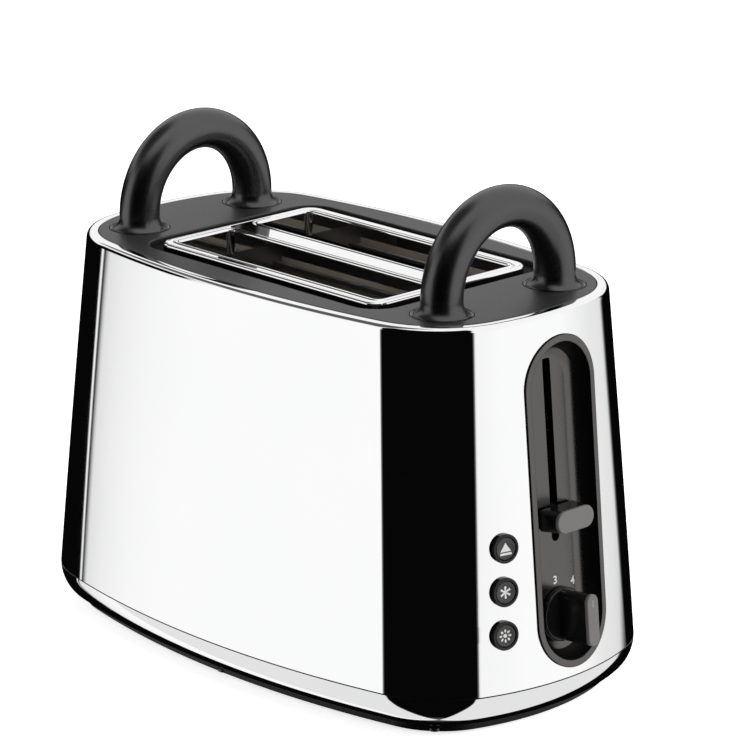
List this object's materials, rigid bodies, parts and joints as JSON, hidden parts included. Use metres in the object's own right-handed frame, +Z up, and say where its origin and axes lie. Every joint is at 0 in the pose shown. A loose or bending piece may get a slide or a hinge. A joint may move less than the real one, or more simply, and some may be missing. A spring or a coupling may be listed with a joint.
{
  "type": "toaster",
  "caption": "Long polished steel toaster with slots in a dark deck, an arched carry handle at each end, and a lever, browning dial and push buttons on one end wall.",
  "frame": {"origin": "middle of the footprint on the table", "axes": "+Z up, +X towards the end wall with the controls, +Y across the slots"},
  "size_m": [0.321, 0.1812, 0.2425],
  "materials": {
    "polished_steel": "mirror polished",
    "satin_black": "satin",
    "gloss_black": "gloss",
    "grey_plastic": "satin",
    "sheet_steel": "brushed",
    "mica": "matte",
    "heating_wire": "drawn",
    "copper": "wound",
    "circuit_board": "satin",
    "moulded_plastic": "moulded",
    "rubber": "matte"
  },
  "bodies": {
    "housing": {"base_plate": "satin_black", "base_screws": "sheet_steel", "base_skirt": "polished_steel", "board_parts": "moulded_plastic", "body_shell": "polished_steel", "button_board": "circuit_board", "button_carrier": "moulded_plastic", "button_rings": "gloss_black", "cable_bush": "rubber", "centre_heater": "mica", "control_bezel": "grey_plastic", "control_end_handle": "satin_black", "feet": "rubber", "front_bulkhead": "sheet_steel", "guide_rods": "sheet_steel", "handle_collars": "gloss_black", "handle_screws": "sheet_steel", "heater_windings": "heating_wire", "hold_magnet": "sheet_steel", "left_heater": "mica", "left_shield": "sheet_steel", "magnet_coil": "copper", "main_board": "circuit_board", "potentiometer": "moulded_plastic", "rear_bulkhead": "sheet_steel", "rear_end_handle": "satin_black", "right_heater": "mica", "right_shield": "sheet_steel", "seam_ring": "satin_black", "slot_frame": "polished_steel", "tact_switches": "moulded_plastic", "top_deck": "satin_black"},
    "carriage": {"carriage_plate": "sheet_steel", "lever_arm": "sheet_steel", "lever_knob": "satin_black", "lever_pad": "grey_plastic", "left_rack": "sheet_steel", "right_rack": "sheet_steel", "slide_bushes": "moulded_plastic", "lift_springs": "sheet_steel", "armature": "sheet_steel"},
    "knob": {"browning_knob": "satin_black", "knob_pad": "grey_plastic", "knob_shaft": "sheet_steel"},
    "eject": {"eject_button": "gloss_black"},
    "defrost": {"defrost_button": "gloss_black"},
    "reheat": {"reheat_button": "gloss_black"},
    "outer_left_guide": {"left_outer_guide": "sheet_steel"},
    "inner_left_guide": {"left_inner_guide": "sheet_steel"},
    "inner_right_guide": {"right_inner_guide": "sheet_steel"},
    "outer_right_guide": {"right_outer_guide": "sheet_steel"},
    "tray": {"crumb_tray": "sheet_steel", "tray_pull": "grey_plastic"}
  },
  "joints": [
    {"name": "carriage_slide", "type": "slide", "parent": "housing", "child": "carriage", "axis": [0, 0, 1], "range_m": [0, 0.068], "deforming": ["lift_springs"]},
    {"name": "outer_left_swing", "type": "hinge", "parent": "housing", "child": "outer_left_guide", "pos_m": [0, -0.03455, 0.045], "axis": [1, 0, 0], "range_deg": [0, 4]},
    {"name": "inner_left_swing", "type": "hinge", "parent": "housing", "child": "inner_left_guide", "pos_m": [0, -0.01675, 0.045], "axis": [-1, 0, 0], "range_deg": [0, 4]},
    {"name": "inner_right_swing", "type": "hinge", "parent": "housing", "child": "inner_right_guide", "pos_m": [0, 0.01675, 0.045], "axis": [1, 0, 0], "range_deg": [0, 4]},
    {"name": "outer_right_swing", "type": "hinge", "parent": "housing", "child": "outer_right_guide", "pos_m": [0, 0.03455, 0.045], "axis": [-1, 0, 0], "range_deg": [0, 4]},
    {"name": "knob_turn", "type": "hinge", "parent": "housing", "child": "knob", "pos_m": [0.14916, 0.0056, 0.0479], "axis": [0.9948, 0, 0.102], "range_deg": [-130, 130]},
    {"name": "reheat_press", "type": "slide", "parent": "housing", "child": "reheat", "axis": [-0.9595, 0.2624, -0.102], "range_m": [0, 0.0015], "stiffness_N_per_m": 600},
    {"name": "defrost_press", "type": "slide", "parent": "housing", "child": "defrost", "axis": [-0.9634, 0.2481, -0.102], "range_m": [0, 0.0015], "stiffness_N_per_m": 600},
    {"name": "eject_press", "type": "slide", "parent": "housing", "child": "eject", "axis": [-0.9668, 0.2344, -0.102], "range_m": [0, 0.0015], "stiffness_N_per_m": 600},
    {"name": "tray_slide", "type": "slide", "parent": "housing", "child": "tray", "axis": [-1, 0, 0], "range_m": [0, 0.18]}
  ],
  "couplings": [
    {"joint": "outer_left_swing", "follows": "carriage_slide", "rad_per_m": 1.0266},
    {"joint": "inner_left_swing", "follows": "carriage_slide", "rad_per_m": 1.0266},
    {"joint": "inner_right_swing", "follows": "carriage_slide", "rad_per_m": 1.0266},
    {"joint": "outer_right_swing", "follows": "carriage_slide", "rad_per_m": 1.0266}
  ]
}
